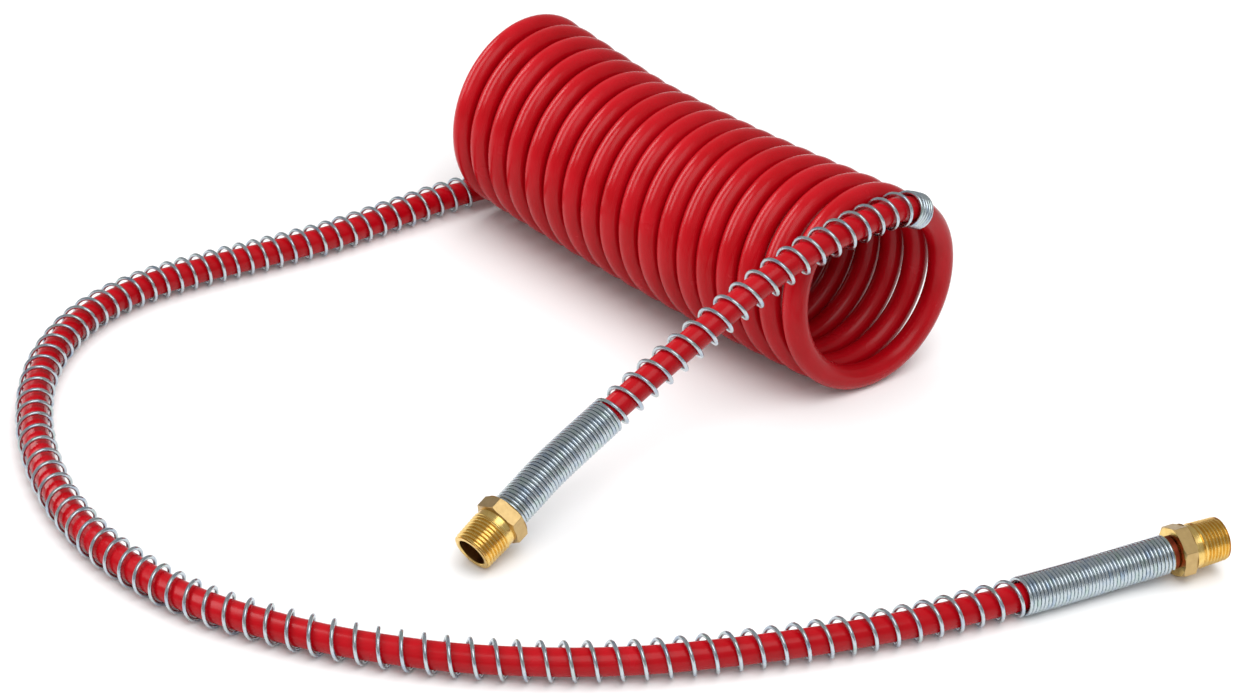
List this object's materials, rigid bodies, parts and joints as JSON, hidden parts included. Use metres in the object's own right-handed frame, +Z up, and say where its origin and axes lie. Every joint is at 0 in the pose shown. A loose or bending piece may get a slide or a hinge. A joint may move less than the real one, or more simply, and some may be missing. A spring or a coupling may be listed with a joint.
{
  "type": "coiled air hose",
  "caption": "Close-coiled red nylon air hose with a short and a long lead, wire spring guards and brass male pipe fittings; the coil stretches and the long lead's fitting swivels.",
  "frame": {"origin": "centre of the whole hose's footprint, on the surface that it lies on", "axes": "+X along the coil's axis, towards the end with the short lead; +Y away from the leads; +Z up"},
  "size_m": [0.5198, 0.4482, 0.1077],
  "materials": {
    "red_nylon": "glossy extruded nylon",
    "zinc_spring": "bright zinc plate with a faint blue tint",
    "brass": "machined, satin on the hexagon",
    "seal_rubber": "matte"
  },
  "bodies": {
    "hose": {"hose_coil": "red_nylon", "long_lead_tube": "red_nylon", "long_lead_guard": "zinc_spring", "long_end_stem": "brass", "long_end_ferrule": "brass", "swivel_o_ring_rear": "seal_rubber", "swivel_o_ring_front": "seal_rubber"},
    "short_end": {"short_lead_tube": "red_nylon", "short_lead_guard": "zinc_spring", "short_end_body": "brass", "short_end_ferrule": "brass"},
    "swivel": {"swivel_body": "brass", "swivel_retaining_ring": "zinc_spring"}
  },
  "joints": [
    {"name": "coil_stretch", "type": "slide", "parent": "hose", "child": "short_end", "axis": [1, 0, 0], "range_m": [0, 0.06], "stiffness_N_per_m": 30, "deforming": ["hose_coil"]},
    {"name": "long_end_swivel", "type": "hinge", "parent": "hose", "child": "swivel", "pos_m": [0.2436, 0.1534, 0.0128], "axis": [0.3487, 0.9327, 0.0924], "continuous": true}
  ]
}
